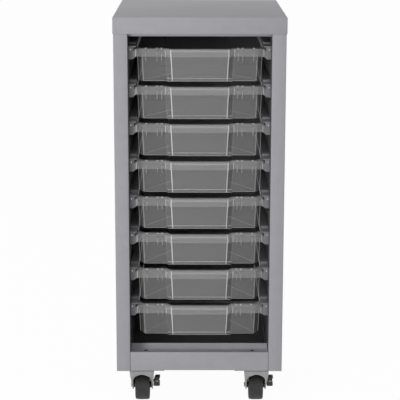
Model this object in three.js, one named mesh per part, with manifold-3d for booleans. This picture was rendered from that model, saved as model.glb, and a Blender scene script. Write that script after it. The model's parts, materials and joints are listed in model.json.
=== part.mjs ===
// Classroom tray storage unit: a steel cabinet on casters with sliding clear plastic trays.
// Millimetres, +Z up. The origin is on the floor under the cabinet's middle, and the front faces -Y.

import * as THREE from 'three';
import { mergeVertices } from 'three/addons/utils/BufferGeometryUtils.js';
import Module from 'manifold-3d';

const wasm = await Module();
wasm.setup();

// Clearance between pieces that are seated on each other
const FIT = 0.3;

// Tray
const TRAY_COUNT = 8;
const TRAY_GAP = 11;
const TRAY_WIDTH = 312;
const TRAY_LENGTH = 430;
const TRAY_HEIGHT = 80;
const TRAY_WALL = 2;
const TRAY_FOOT = 3;
const TRAY_SIDE_TAPER = 3.5;
const TRAY_FRONT_TAPER = 8;
const TRAY_BACK_TAPER = 5;
const TRAY_CORNER_WIDTH = 13;
const TRAY_CORNER_LENGTH = 22;
const RIM_THICKNESS = 2.2;
const RIM_EDGE = 1;
const RIM_CORNER = 5;
const RIM_SIDE_OVERHANG = 5;
const RIM_FRONT_OVERHANG = 27;
const RIM_BACK_OVERHANG = 8;
const RIM_LIP = 5;
const RIM_SKIRT = 19.5;
const BULGE_WIDTH = 140;
const BULGE_SLOPE_WIDTH = 12;
const BULGE_TAPER = 4;
const RIM_BULGE = 12;
const BODY_BULGE = 17;
const GUSSET_OFFSETS = [9, 19, 46];
const GUSSET_THICKNESS = 1.6;
const GUSSET_DROP = 33;
const LEDGE_HEIGHT = 8;
const LEDGE_DEPTH = 3.5;

// Runner
const RUNNER_WEB = 12.9;
const RUNNER_SIDE_GAP = 2;
const RUNNER_REACH_GAP = 1.3;
const RUNNER_DROP = 25.5;
const RUNNER_HEADROOM = 3.5;
const RUNNER_TOP_LIP = 8.5;
const RUNNER_FRONT_LIP = 3.2;
const RUNNER_LIP_SETBACK = 36;
const RUNNER_SLANT_WIDTH = 8;
const RUNNER_SLANT_HEIGHT = 7;
const RUNNER_STOP = 4;
const RUNNER_FRONT_GAP = 1.5;

// Cabinet sheet metal
const SHEET = 1.2;
const BEND = 2.5;
const STILE_WIDTH = 33.8;
const STILE_RETURN = 10;
const REAR_FLANGE = 30;
const RIM_SETBACK = 5;
const REAR_SPACE = 43;
const HEAD_ROOM = 76;
const LOWEST_TRAY_GAP = 33.5;
const CAP_DROP = 40;
const CAP_CORNER = 4;
const SILL_RISE = 2.4;
const SILL_HEIGHT = 47;
const SILL_DEPTH = 60;
const SILL_WEB_DROP = 12;
const SILL_UPSTAND = 16;
const SILL_RETURN = 16;
const SILL_HOLE_DIAMETER = 12;
const SILL_HOLE_SPACING = 267;
const SILL_HOLE_EDGE = 12;
const TOP_RAIL_SETBACK = 12;
const TOP_RAIL_HEIGHT = 45;
const TOP_RAIL_RETURN = 20;
const FLOOR_LEVEL = 20;
const FLOOR_FLANGE = 30;
const BACK_SWAGE_SPACING = 174;
const BACK_SWAGE_WIDTH = 10;
const BACK_SWAGE_DEPTH = 2;
const CORNER_PLATE_WIDTH = 116;
const CORNER_PLATE_LENGTH = 118;
const CORNER_PLATE_CLIP = 14;

// Caster
const CASTER_INSET = 61;
const CASTER_TRAIL = 24;
const CASTER_PLATE = 2.7;
const CASTER_PLATE_SIZE = 62;
const CASTER_PLATE_CORNER = 8;
const RACE_HEIGHT = 7.2;
const RACE_DIAMETER = 50;
const RIVET_DIAMETER = 12;
const RIVET_HEAD_DIAMETER = 20;
const RIVET_HEAD = 2.6;
const RIVET_CHAMFER = 1;
const WHEEL_DIAMETER = 75;
const WHEEL_WIDTH = 36;
const TREAD_WIDTH = 12;
const TREAD_CROWN = 0.9;
const SHOULDER_WIDTH = 2.7;
const SHOULDER_DROP = 2.7;
const TYRE_THICKNESS = 9;
const WHEEL_WEB = 18;
const WHEEL_RIM_SLOPE = 2;
const AXLE_DIAMETER = 8;
const AXLE_HEAD_WIDTH = 12;
const AXLE_HEAD = 2;
const AXLE_END = 1;
const FORK_SHEET = 2.8;
const FORK_WHEEL_GAP = 5;
const FORK_REAR_GAP = 1;
const FORK_CHEEK = 3.5;
const FORK_FLARE = 4.6;
const FORK_LENGTH = 54;
const FORK_CORNER = 6;
const FORK_FRONT_DROP = 14;
const FORK_LEG_RADIUS = 11;
const FORK_ARCH_CLEARANCE = 7.2;
const FORK_CROWN_RISE = 11.3;

// Brake rocker
const ROCKER_RISE = 11;
const ROCKER_HUB = 5;
const ROCKER_TOE = 0.9;
const ROCKER_SHOULDER = 3.4;
const ROCKER_SHOULDER_HEIGHT = 8;
const ROCKER_UPPER_HEIGHT = 12.8;
const ROCKER_UPPER_REACH = 11.6;
const ROCKER_LOWER_HEIGHT = 11.8;
const ROCKER_LOWER_REACH = 10.4;
const ROCKER_WAIST = 6.8;
const ROCKER_WAIST_HEIGHT = 4;
const ROCKER_NOTCH = 1.4;
const ROCKER_WALL = 1.1;
const ROCKER_CORNER = 1.8;
const ROCKER_LENGTH = 18;
const ROCKER_LEG_GAP = 1;
const ROCKER_LUG = 5;
const ROCKER_LUG_EDGE = 1.2;
const ROCKER_LUG_ROOM = 2.5;
const ROCKER_PIN_DIAMETER = 4;
const ROCKER_PIN_SETBACK = 2;

// Facets on round pieces
const WHEEL_SIDES = 20;
const PIN_SIDES = 12;
const HEX_SIDES = 6;
const ARC_STEPS = 5;
const BEND_STEPS = 2;

// Sizes that follow from the tray: the cabinet is built round the stack of trays
const traySide = TRAY_WIDTH / 2;
const trayBodySide = traySide - RIM_SIDE_OVERHANG;
const openingSide = traySide + RUNNER_SIDE_GAP + RUNNER_WEB + FIT;
const bodySide = openingSide + STILE_WIDTH;
const trayPitch = TRAY_HEIGHT + TRAY_GAP;
const bodyDepth = RIM_SETBACK + TRAY_LENGTH + REAR_SPACE;
const sillTop = SILL_RISE + SILL_HEIGHT;
const sillWeb = sillTop - SILL_WEB_DROP;
const lowestRim = sillTop + LOWEST_TRAY_GAP + TRAY_HEIGHT;
const bodyHeight = lowestRim + (TRAY_COUNT - 1) * trayPitch + HEAD_ROOM;
const railSide = openingSide - FIT;
const backPanelFront = bodyDepth - 2 * SHEET - FIT - SHEET;
const runnerFront = RIM_SETBACK + RIM_BULGE + RIM_CORNER + RUNNER_FRONT_GAP;
const runnerBack = RIM_SETBACK + TRAY_LENGTH + FIT + RUNNER_STOP;

// Widths of a caster's fork, which straddles the wheel
const forkArchWidth = WHEEL_WIDTH + 2 * FORK_WHEEL_GAP;
const forkAxleWidth = forkArchWidth + 2 * FORK_CHEEK;
const forkTopWidth = forkAxleWidth + 2 * FORK_FLARE;

// Levels of a caster above the floor
const axleLevel = WHEEL_DIAMETER / 2;
const archTop = WHEEL_DIAMETER + FORK_ARCH_CLEARANCE;
const crownTop = archTop + FORK_CROWN_RISE;
const raceTop = crownTop + FIT + RACE_HEIGHT;
const casterHeight = raceTop + CASTER_PLATE + FIT;

// Finishes
function finish(color, roughness, metalness) {
  return new THREE.MeshStandardMaterial({ color, roughness, metalness });
}
const greyPaint = finish(0x9b9ba0, 0.45, 0.2);
const blackPaint = finish(0x1d1d1f, 0.6, 0.1);
const runnerPlastic = finish(0x6c6c70, 0.5, 0);
const forkSteel = finish(0x8b8b8c, 0.35, 0.8);
const boltSteel = finish(0xa6a6a8, 0.3, 0.9);
const tyreRubber = finish(0x36363a, 0.75, 0);
const rockerPlastic = finish(0x2b2b2d, 0.55, 0);
const clearPlastic = finish(0xc9cdcd, 0.12, 0);
clearPlastic.transparent = true;
clearPlastic.opacity = 0.4;

// A closed solid for cutting and joining
function solidOf(geometry) {
  const bare = geometry.clone();
  bare.deleteAttribute('normal');
  bare.deleteAttribute('uv');
  const merged = mergeVertices(bare, 1e-4);
  return new wasm.Manifold(new wasm.Mesh({
    numProp: 3,
    vertProperties: new Float32Array(merged.attributes.position.array),
    triVerts: new Uint32Array(merged.index.array),
  }));
}

function geometryOf(solid) {
  const mesh = solid.getMesh();
  const geometry = new THREE.BufferGeometry();
  geometry.setAttribute('position', new THREE.BufferAttribute(mesh.vertProperties, 3));
  geometry.setIndex(new THREE.BufferAttribute(mesh.triVerts, 1));
  geometry.computeVertexNormals();
  return geometry;
}

function join(...geometries) {
  return geometryOf(geometries.map(solidOf).reduce((whole, next) => whole.add(next)));
}

function cut(geometry, ...tools) {
  return geometryOf(tools.map(solidOf).reduce((rest, tool) => rest.subtract(tool), solidOf(geometry)));
}

function common(first, second) {
  return geometryOf(solidOf(first).intersect(solidOf(second)));
}

// Extrusions of an outline along one axis
const extrudeOptions = { bevelEnabled: false, steps: 1, curveSegments: ARC_STEPS };

function shapeOf(outline) {
  if (outline instanceof THREE.Shape) {
    return outline;
  }
  return new THREE.Shape(outline.map(([u, v]) => new THREE.Vector2(u, v)));
}

function extrude(outline, from, to) {
  const geometry = new THREE.ExtrudeGeometry(shapeOf(outline), { ...extrudeOptions, depth: to - from });
  return geometry.translate(0, 0, from);
}

function alongX(outlineYZ, from, to) {
  const turn = new THREE.Matrix4().makeBasis(
    new THREE.Vector3(0, 1, 0),
    new THREE.Vector3(0, 0, 1),
    new THREE.Vector3(1, 0, 0),
  );
  return extrude(outlineYZ, from, to).applyMatrix4(turn);
}

function alongY(outlineXZ, from, to) {
  return extrude(outlineXZ, -to, -from).rotateX(Math.PI / 2);
}

function alongZ(outlineXY, from, to) {
  return extrude(outlineXY, from, to);
}

function block(x0, x1, y0, y1, z0, z1) {
  const geometry = new THREE.BoxGeometry(x1 - x0, y1 - y0, z1 - z0);
  return geometry.translate((x0 + x1) / 2, (y0 + y1) / 2, (z0 + z1) / 2);
}

function pinAlongX(radius, from, to, y, z, sides) {
  const geometry = new THREE.CylinderGeometry(radius, radius, to - from, sides).rotateZ(Math.PI / 2);
  return geometry.translate((from + to) / 2, y, z);
}

function pinAlongY(radius, from, to, x, z, sides) {
  return new THREE.CylinderGeometry(radius, radius, to - from, sides).translate(x, (from + to) / 2, z);
}

function pinAlongZ(radius, from, to, x, y, sides) {
  const geometry = new THREE.CylinderGeometry(radius, radius, to - from, sides).rotateX(Math.PI / 2);
  return geometry.translate(x, y, (from + to) / 2);
}

// A path with each inner corner turned into a bend
function roundCorners(path, radius) {
  const rounded = [path[0]];
  for (let i = 1; i < path.length - 1; i += 1) {
    const corner = new THREE.Vector2(...path[i]);
    const before = new THREE.Vector2(...path[i - 1]).sub(corner).normalize();
    const after = new THREE.Vector2(...path[i + 1]).sub(corner).normalize();
    const start = corner.clone().addScaledVector(before, radius);
    const end = corner.clone().addScaledVector(after, radius);
    const bend = new THREE.QuadraticBezierCurve(start, corner, end);
    rounded.push(...bend.getPoints(BEND_STEPS).map((p) => [p.x, p.y]));
  }
  rounded.push(path[path.length - 1]);
  return rounded;
}

// The section of a bent sheet: the path is its outer face, and the thickness lies to the left of it
function sheetSection(path, thickness) {
  const inner = path.map(([x, y], i) => {
    const back = path[Math.max(i - 1, 0)];
    const next = path[Math.min(i + 1, path.length - 1)];
    const into = new THREE.Vector2(x - back[0], y - back[1]).normalize();
    const out = new THREE.Vector2(next[0] - x, next[1] - y).normalize();
    const first = i === 0 ? out : into;
    const second = i === path.length - 1 ? into : out;
    const mitre = new THREE.Vector2(-first.y - second.y, first.x + second.x);
    mitre.multiplyScalar(thickness / (1 + first.dot(second)));
    return [x + mitre.x, y + mitre.y];
  });
  return [...path, ...inner.reverse()];
}

// A closed skin through rings of points: every ring runs anticlockwise seen from above
function loft(rings) {
  const count = rings[0].length;
  const positions = rings.flat(2);
  const index = [];
  for (let level = 0; level < rings.length - 1; level += 1) {
    for (let j = 0; j < count; j += 1) {
      const k = (j + 1) % count;
      const [p, q] = [level * count + j, level * count + k];
      const [s, r] = [p + count, q + count];
      index.push(p, q, r, p, r, s);
    }
  }
  const last = (rings.length - 1) * count;
  const flat = (ring) => {
    const outline = ring.map(([x, y]) => new THREE.Vector2(x, y));
    return THREE.ShapeUtils.triangulateShape(outline, []);
  };
  flat(rings[0]).forEach(([a, b, c]) => index.push(a, c, b));
  flat(rings[rings.length - 1]).forEach(([a, b, c]) => index.push(last + a, last + b, last + c));
  const geometry = new THREE.BufferGeometry();
  geometry.setAttribute('position', new THREE.Float32BufferAttribute(positions, 3));
  geometry.setIndex(index);
  geometry.computeVertexNormals();
  return geometry;
}

// A ring of a rectangle with rounded corners, centred on x = 0
function rectangleRing(halfWidth, front, back, radius, z) {
  const ring = [];
  const centres = [
    [halfWidth - radius, front + radius, -Math.PI / 2],
    [halfWidth - radius, back - radius, 0],
    [radius - halfWidth, back - radius, Math.PI / 2],
    [radius - halfWidth, front + radius, Math.PI],
  ];
  for (const [x, y, start] of centres) {
    for (let step = 0; step <= BEND_STEPS; step += 1) {
      const angle = start + (step / BEND_STEPS) * (Math.PI / 2);
      ring.push([x + radius * Math.cos(angle), y + radius * Math.sin(angle), z]);
    }
  }
  return ring;
}

// Tray, with y = 0 at the front of its rim and z = 0 on top of the rim

// Plan of the tray at one level: straight sides, cut or round corners and a forward middle section
function trayPlan({ side, front, back, bulge, bulgeSide, cornerWidth, cornerLength, roundness }) {
  const root = bulgeSide + BULGE_SLOPE_WIDTH;
  const corner = (right, near, reversed) => {
    const [sx, sy, y] = [right ? 1 : -1, near ? 1 : -1, near ? front : back];
    const middle = 0.5 * (1 - roundness) + (1 - Math.SQRT1_2) * roundness;
    const points = [
      [sx * (side - cornerWidth), y],
      [sx * (side - cornerWidth * middle), y + sy * cornerLength * middle],
      [sx * side, y + sy * cornerLength],
    ];
    return reversed ? points.reverse() : points;
  };
  return [
    [-root, front],
    [-bulgeSide, front - bulge],
    [bulgeSide, front - bulge],
    [root, front],
    ...corner(true, true, false),
    ...corner(true, false, true),
    ...corner(false, false, false),
    ...corner(false, true, true),
  ];
}

const rimPlan = {
  side: traySide,
  front: RIM_BULGE,
  back: TRAY_LENGTH,
  bulge: RIM_BULGE,
  bulgeSide: BULGE_WIDTH / 2,
  cornerWidth: RIM_CORNER,
  cornerLength: RIM_CORNER,
  roundness: 1,
};
const wallTopPlan = {
  side: trayBodySide,
  front: RIM_BULGE + RIM_FRONT_OVERHANG,
  back: TRAY_LENGTH - RIM_BACK_OVERHANG,
  bulge: BODY_BULGE,
  bulgeSide: BULGE_WIDTH / 2,
  cornerWidth: TRAY_CORNER_WIDTH,
  cornerLength: TRAY_CORNER_LENGTH,
  roundness: 0,
};
const wallFootPlan = {
  ...wallTopPlan,
  side: wallTopPlan.side - TRAY_SIDE_TAPER,
  front: wallTopPlan.front + TRAY_FRONT_TAPER,
  back: wallTopPlan.back - TRAY_BACK_TAPER,
  bulgeSide: wallTopPlan.bulgeSide - BULGE_TAPER,
};

function shrink(plan, by) {
  return {
    ...plan,
    side: plan.side - by,
    front: plan.front + by,
    back: plan.back - by,
    bulgeSide: plan.bulgeSide - by / 2,
    cornerWidth: Math.max(plan.cornerWidth - by / 2, by / 2),
    cornerLength: Math.max(plan.cornerLength - by / 2, by / 2),
  };
}

function trayRing(plan, z) {
  return trayPlan(plan).map(([x, y]) => [x, y, z]);
}

// The rim's turned-down edge is a deep skirt across the front and a short lip on the other sides
function edgeRing(plan) {
  const skirtEnd = plan.front + plan.cornerLength / 2;
  return trayPlan(plan).map(([x, y]) => [x, y, y < skirtEnd ? -RIM_SKIRT : -RIM_LIP]);
}

function trayGusset(x) {
  const [skirtBack, wall] = [rimPlan.front + RIM_THICKNESS / 2, wallTopPlan.front + TRAY_WALL / 2];
  const wallSlope = TRAY_FRONT_TAPER * (GUSSET_DROP / TRAY_HEIGHT);
  const under = -RIM_THICKNESS / 2;
  const profile = [
    [skirtBack, under],
    [wall, under],
    [wall + wallSlope, -GUSSET_DROP],
    [skirtBack, -RIM_SKIRT / 2],
  ];
  return alongX(profile, x - GUSSET_THICKNESS / 2, x + GUSSET_THICKNESS / 2);
}

function trayGeometry() {
  const floor = -TRAY_HEIGHT;
  const shell = loft([
    trayRing(shrink(wallFootPlan, TRAY_FOOT), floor),
    trayRing(wallFootPlan, floor + TRAY_FOOT),
    trayRing(wallTopPlan, -RIM_THICKNESS),
    trayRing(shrink(rimPlan, RIM_THICKNESS), -RIM_THICKNESS),
    edgeRing(shrink(rimPlan, RIM_THICKNESS)),
    edgeRing(rimPlan),
    trayRing(rimPlan, -RIM_EDGE),
    trayRing(shrink(rimPlan, RIM_EDGE), 0),
    trayRing(shrink(wallTopPlan, TRAY_WALL), 0),
    trayRing(shrink(wallFootPlan, TRAY_WALL), floor + TRAY_WALL + TRAY_FOOT),
    trayRing(shrink(wallFootPlan, TRAY_WALL + TRAY_FOOT), floor + TRAY_WALL),
  ]);
  const ledgeBack = wallFootPlan.front - BODY_BULGE + TRAY_WALL / 2;
  const ledgeSide = wallFootPlan.bulgeSide + BULGE_SLOPE_WIDTH;
  const ledge = block(
    -ledgeSide,
    ledgeSide,
    ledgeBack - TRAY_WALL / 2 - LEDGE_DEPTH,
    ledgeBack,
    floor + TRAY_FOOT / 2,
    floor + TRAY_FOOT / 2 + LEDGE_HEIGHT,
  );
  const bulgeRoot = wallTopPlan.bulgeSide + BULGE_SLOPE_WIDTH;
  const gussets = GUSSET_OFFSETS.flatMap((offset) => [
    trayGusset(bulgeRoot + offset),
    trayGusset(-bulgeRoot - offset),
  ]);
  return join(shell, ledge, ...gussets);
}

// Runner for the right-hand side, with z = 0 level with the top of the rim it carries

function runnerGeometry(side) {
  const outer = openingSide - FIT;
  const web = outer - RUNNER_WEB;
  const reach = trayBodySide + RUNNER_REACH_GAP;
  const shelf = -RIM_LIP - FIT;
  const lipBottom = RUNNER_HEADROOM;
  const lipTop = RUNNER_HEADROOM + RUNNER_TOP_LIP;
  const section = [
    [outer, -RUNNER_DROP],
    [reach + RUNNER_SLANT_WIDTH, -RUNNER_DROP],
    [reach, -RUNNER_DROP + RUNNER_SLANT_HEIGHT],
    [reach, shelf],
    [web, shelf],
    [web, lipBottom],
    [reach, lipBottom],
    [reach, lipTop],
    [outer, lipTop],
  ].map(([x, z]) => [side * x, z]);
  const span = (x0, x1) => [Math.min(side * x0, side * x1), Math.max(side * x0, side * x1)];
  const rail = alongY(section, runnerFront, runnerBack);
  const entry = block(
    ...span(reach - FIT, outer + FIT),
    runnerFront - FIT,
    runnerFront + RUNNER_LIP_SETBACK,
    lipBottom + RUNNER_FRONT_LIP,
    lipTop + FIT,
  );
  const stop = block(
    ...span(reach, outer - RUNNER_WEB / 2),
    runnerBack - RUNNER_STOP,
    runnerBack,
    shelf - RUNNER_TOP_LIP / 2,
    lipTop - RUNNER_TOP_LIP / 2,
  );
  return join(cut(rail, entry), stop);
}

// Cabinet, with y = 0 on the front face and z = 0 at the bottom edge of its sides

function sidePanelGeometry(side) {
  const path = roundCorners([
    [openingSide, STILE_RETURN],
    [openingSide, 0],
    [bodySide, 0],
    [bodySide, bodyDepth],
    [bodySide - REAR_FLANGE, bodyDepth],
  ], BEND);
  const section = sheetSection(path, SHEET).map(([x, y]) => [side * x, y]);
  const [inner, skin] = [side * (openingSide - FIT), side * (bodySide - SHEET - FIT)];
  const plateNotch = block(
    Math.min(inner, skin),
    Math.max(inner, skin),
    SHEET + FIT,
    STILE_RETURN + FIT,
    -FIT,
    SILL_RISE,
  );
  return cut(alongZ(section, 0, bodyHeight), plateNotch);
}

function capGeometry() {
  const drop = bodyHeight + FIT + SHEET - CAP_DROP;
  const top = bodyHeight + FIT + SHEET;
  const ring = (inset, z) => rectangleRing(
    bodySide + FIT + SHEET - inset,
    inset - FIT - SHEET,
    bodyDepth + FIT + SHEET - inset,
    Math.max(CAP_CORNER - inset, SHEET),
    z,
  );
  const half = BEND * (1 - Math.SQRT1_2);
  return loft([
    ring(SHEET, top - SHEET),
    ring(SHEET, drop),
    ring(0, drop),
    ring(0, top - BEND),
    ring(half, top - half),
    ring(BEND, top),
  ]);
}

// The sill is one folded sheet: bottom return, face, hemmed lip, web and rear upstand
function sillSection() {
  return [
    [SILL_RETURN, SILL_RISE],
    [0, SILL_RISE],
    [0, sillTop - SHEET],
    [SHEET / 2, sillTop],
    [2 * SHEET - SHEET / 2, sillTop],
    [2 * SHEET, sillTop - SHEET],
    [2 * SHEET, sillWeb + SHEET],
    [SILL_DEPTH - SHEET, sillWeb + SHEET],
    [SILL_DEPTH - SHEET, sillWeb + SILL_UPSTAND],
    [SILL_DEPTH, sillWeb + SILL_UPSTAND],
    [SILL_DEPTH, sillWeb],
    [SHEET, sillWeb],
    [SHEET, SILL_RISE + SHEET],
    [SILL_RETURN, SILL_RISE + SHEET],
  ];
}

function frontSillGeometry() {
  const holes = [-1, 1].map((side) => pinAlongZ(
    SILL_HOLE_DIAMETER / 2,
    sillWeb - FIT,
    sillWeb + SHEET + FIT,
    (side * SILL_HOLE_SPACING) / 2,
    SILL_DEPTH - SILL_HOLE_EDGE,
    PIN_SIDES,
  ));
  const ends = [-1, 1].map((side) => block(
    side * (railSide - SHEET / 2) - SHEET / 2,
    side * (railSide - SHEET / 2) + SHEET / 2,
    SHEET,
    SILL_DEPTH,
    sillWeb,
    sillTop - SHEET,
  ));
  return cut(join(alongX(sillSection(), -railSide, railSide), ...ends), ...holes);
}

function rearSillGeometry() {
  return alongX(sillSection().map(([y, z]) => [bodyDepth - y, z]), -railSide, railSide);
}

function topFrontRailGeometry() {
  const top = bodyHeight - FIT;
  const path = roundCorners([
    [TOP_RAIL_SETBACK, top],
    [TOP_RAIL_SETBACK, top - TOP_RAIL_HEIGHT],
    [TOP_RAIL_SETBACK + TOP_RAIL_RETURN, top - TOP_RAIL_HEIGHT],
  ], BEND);
  return alongX(sheetSection(path, SHEET), -railSide, railSide);
}

function floorPanGeometry() {
  const [front, back] = [SILL_DEPTH + FIT, bodyDepth - SILL_DEPTH - FIT];
  const ring = (inset, z) => rectangleRing(railSide - inset, front + inset, back - inset, BEND, z);
  return loft([
    ring(BEND, FLOOR_LEVEL),
    ring(0, FLOOR_LEVEL + BEND),
    ring(0, FLOOR_LEVEL + FLOOR_FLANGE),
    ring(SHEET, FLOOR_LEVEL + FLOOR_FLANGE),
    ring(SHEET, FLOOR_LEVEL + BEND),
    ring(BEND, FLOOR_LEVEL + SHEET),
  ]);
}

function backPanelGeometry() {
  const edge = bodySide - SHEET - FIT;
  const swage = (x) => [
    [x - BACK_SWAGE_WIDTH / 2, 0],
    [x - BACK_SWAGE_WIDTH / 4, -BACK_SWAGE_DEPTH],
    [x + BACK_SWAGE_WIDTH / 4, -BACK_SWAGE_DEPTH],
    [x + BACK_SWAGE_WIDTH / 2, 0],
  ];
  const path = [
    [-edge, 0],
    ...swage(-BACK_SWAGE_SPACING / 2),
    ...swage(BACK_SWAGE_SPACING / 2),
    [edge, 0],
  ].map(([x, y]) => [x, y + backPanelFront]);
  return alongZ(sheetSection(path, SHEET), sillWeb + SHEET + FIT, bodyHeight);
}

function linerGeometry(side) {
  const [near, far] = [side * openingSide, side * (openingSide + SHEET)];
  return block(
    Math.min(near, far),
    Math.max(near, far),
    STILE_RETURN + FIT,
    backPanelFront - FIT,
    SILL_RISE,
    bodyHeight,
  );
}

// A plate welded under a corner of the cabinet, clipped at its free corner and at the side panel's bend
function cornerPlateGeometry(side, end) {
  const outer = bodySide - SHEET - FIT;
  const inner = outer - CORNER_PLATE_WIDTH;
  const near = SHEET + FIT;
  const far = near + CORNER_PLATE_LENGTH;
  const outline = [
    [outer - BEND, near],
    [outer, near + BEND],
    [outer, far],
    [inner + CORNER_PLATE_CLIP, far],
    [inner, far - CORNER_PLATE_CLIP],
    [inner, near],
  ].map(([x, y]) => [side * x, end === 'front' ? y : bodyDepth - y]);
  return alongZ(outline, 0, SILL_RISE - FIT);
}

// Caster, with x = y = 0 on its swivel axis and z = 0 on the floor

function casterMountGeometry() {
  const crownInside = crownTop - FORK_SHEET;
  const head = crownInside - FIT - RIVET_HEAD;
  const [rivet, race] = [RIVET_DIAMETER / 2, RACE_DIAMETER / 2];
  const turned = new THREE.LatheGeometry([
    [0, head],
    [RIVET_HEAD_DIAMETER / 2 - RIVET_CHAMFER, head],
    [RIVET_HEAD_DIAMETER / 2, head + RIVET_CHAMFER],
    [RIVET_HEAD_DIAMETER / 2, crownInside - FIT],
    [rivet, crownInside - FIT],
    [rivet, crownTop + FIT],
    [race, crownTop + FIT],
    [race, crownTop + FIT + RACE_HEIGHT / 2],
    [race - RACE_HEIGHT / 2, raceTop],
    [race - RACE_HEIGHT / 2, raceTop + CASTER_PLATE / 2],
    [0, raceTop + CASTER_PLATE / 2],
  ].map(([r, z]) => new THREE.Vector2(r, z)), WHEEL_SIDES).rotateX(Math.PI / 2);
  const half = CASTER_PLATE_SIZE / 2;
  const plan = (z) => rectangleRing(half, -half, half, CASTER_PLATE_CORNER, z);
  return join(turned, loft([plan(raceTop), plan(raceTop + CASTER_PLATE)]));
}

// Half the fork's width at a height: the pressing narrows from the crown to the axle
function forkSide(z) {
  const fall = (crownTop - z) / (crownTop - axleLevel);
  return forkTopWidth / 2 - fall * FORK_FLARE;
}

function forkFrontOutline(inset) {
  const [top, bottom] = [crownTop - inset, axleLevel - 2 * FORK_LEG_RADIUS];
  return [
    [forkSide(top) - inset, top],
    [inset - forkSide(top), top],
    [inset - forkSide(bottom), bottom],
    [forkSide(bottom) - inset, bottom],
  ];
}

function forkSideOutline() {
  const half = FORK_LENGTH / 2;
  const outline = new THREE.Shape();
  outline.moveTo(-half, crownTop - FORK_FRONT_DROP);
  outline.lineTo(-half, crownTop - FORK_CORNER);
  outline.quadraticCurveTo(-half, crownTop, FORK_CORNER - half, crownTop);
  outline.lineTo(half - FORK_CORNER, crownTop);
  outline.quadraticCurveTo(half, crownTop, half, crownTop - FORK_CORNER);
  outline.lineTo(CASTER_TRAIL + FORK_LEG_RADIUS, axleLevel);
  outline.absarc(CASTER_TRAIL, axleLevel, FORK_LEG_RADIUS, 0, -Math.PI, true);
  outline.closePath();
  return outline;
}

// The hollow inside the pressing, open downwards between the legs
function forkHollowOutline() {
  const half = FORK_LENGTH / 2 - FORK_SHEET;
  const leg = FORK_LEG_RADIUS - FORK_SHEET;
  const [top, bottom] = [crownTop - FORK_SHEET, axleLevel - 2 * FORK_LEG_RADIUS];
  return [
    [-half, top],
    [half, top],
    [CASTER_TRAIL + leg, axleLevel],
    [CASTER_TRAIL + leg, bottom],
    [CASTER_TRAIL - leg, bottom],
    [CASTER_TRAIL - leg, axleLevel],
    [-half, crownTop - FORK_FRONT_DROP],
  ];
}

function forkArchOutline() {
  const radius = forkArchWidth / 2;
  const outline = new THREE.Shape();
  outline.moveTo(radius, axleLevel - 2 * FORK_LEG_RADIUS);
  outline.lineTo(radius, archTop - radius);
  outline.absarc(0, archTop - radius, radius, 0, Math.PI, false);
  outline.lineTo(-radius, axleLevel - 2 * FORK_LEG_RADIUS);
  outline.closePath();
  return outline;
}

function rockerPivot() {
  const level = axleLevel + ROCKER_RISE;
  return { x: forkSide(level) + ROCKER_HUB + ROCKER_LEG_GAP, y: CASTER_TRAIL, z: level };
}

function forkGeometry(braked) {
  const reach = FORK_LENGTH + CASTER_TRAIL;
  const pressing = common(
    alongY(forkFrontOutline(0), -reach, reach),
    alongX(forkSideOutline(), -forkTopWidth, forkTopWidth),
  );
  const hollow = common(
    alongY(forkFrontOutline(FORK_SHEET), -reach, reach),
    alongX(forkHollowOutline(), -forkTopWidth, forkTopWidth),
  );
  const rearSide = WHEEL_WIDTH / 2 + FORK_REAR_GAP;
  const rearOpening = block(-rearSide, rearSide, 0, reach, -FORK_LEG_RADIUS, crownTop - FORK_SHEET);
  const fork = cut(
    pressing,
    hollow,
    alongY(forkArchOutline(), -reach, CASTER_TRAIL),
    rearOpening,
    pinAlongZ(RIVET_DIAMETER / 2 + FIT, crownTop - 2 * FORK_SHEET, crownTop + FIT, 0, 0, PIN_SIDES),
    pinAlongX(AXLE_DIAMETER / 2 + FIT, -forkTopWidth, forkTopWidth, CASTER_TRAIL, axleLevel, PIN_SIDES),
  );
  return braked ? join(fork, ...rockerLug()) : fork;
}

// A lug on the fork's leg with the rocker's pin through it
function rockerLug() {
  const { x, y, z } = rockerPivot();
  const pin = ROCKER_PIN_DIAMETER / 2;
  const edge = pin + ROCKER_LUG_EDGE;
  const root = forkSide(z) - FORK_SHEET / 2;
  const half = ROCKER_LENGTH / 2 - ROCKER_PIN_SETBACK;
  const profile = [[root, z - edge], [x, z - edge], [x + edge, z], [x, z + edge], [root, z + edge]];
  return [
    alongY(profile, y - ROCKER_LUG / 2, y + ROCKER_LUG / 2),
    pinAlongY(pin, y - half, y + half, x, z, PIN_SIDES),
  ];
}

// Two lobes with a waist between them on the outer side, and a back that follows the fork's leg
function rockerOutline() {
  const waist = ROCKER_WAIST_HEIGHT / 2;
  const start = [-ROCKER_HUB, 0];
  const path = [
    start,
    [-ROCKER_HUB, -ROCKER_LOWER_HEIGHT],
    [ROCKER_LOWER_REACH, -ROCKER_LOWER_HEIGHT],
    [ROCKER_LOWER_REACH, -waist],
    [ROCKER_WAIST, 0],
    [ROCKER_UPPER_REACH, ROCKER_UPPER_HEIGHT],
    [-ROCKER_TOE, ROCKER_UPPER_HEIGHT],
    [-ROCKER_SHOULDER, ROCKER_SHOULDER_HEIGHT],
    [-ROCKER_HUB, waist],
    start,
  ];
  return roundCorners(path, ROCKER_CORNER).slice(1);
}

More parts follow.
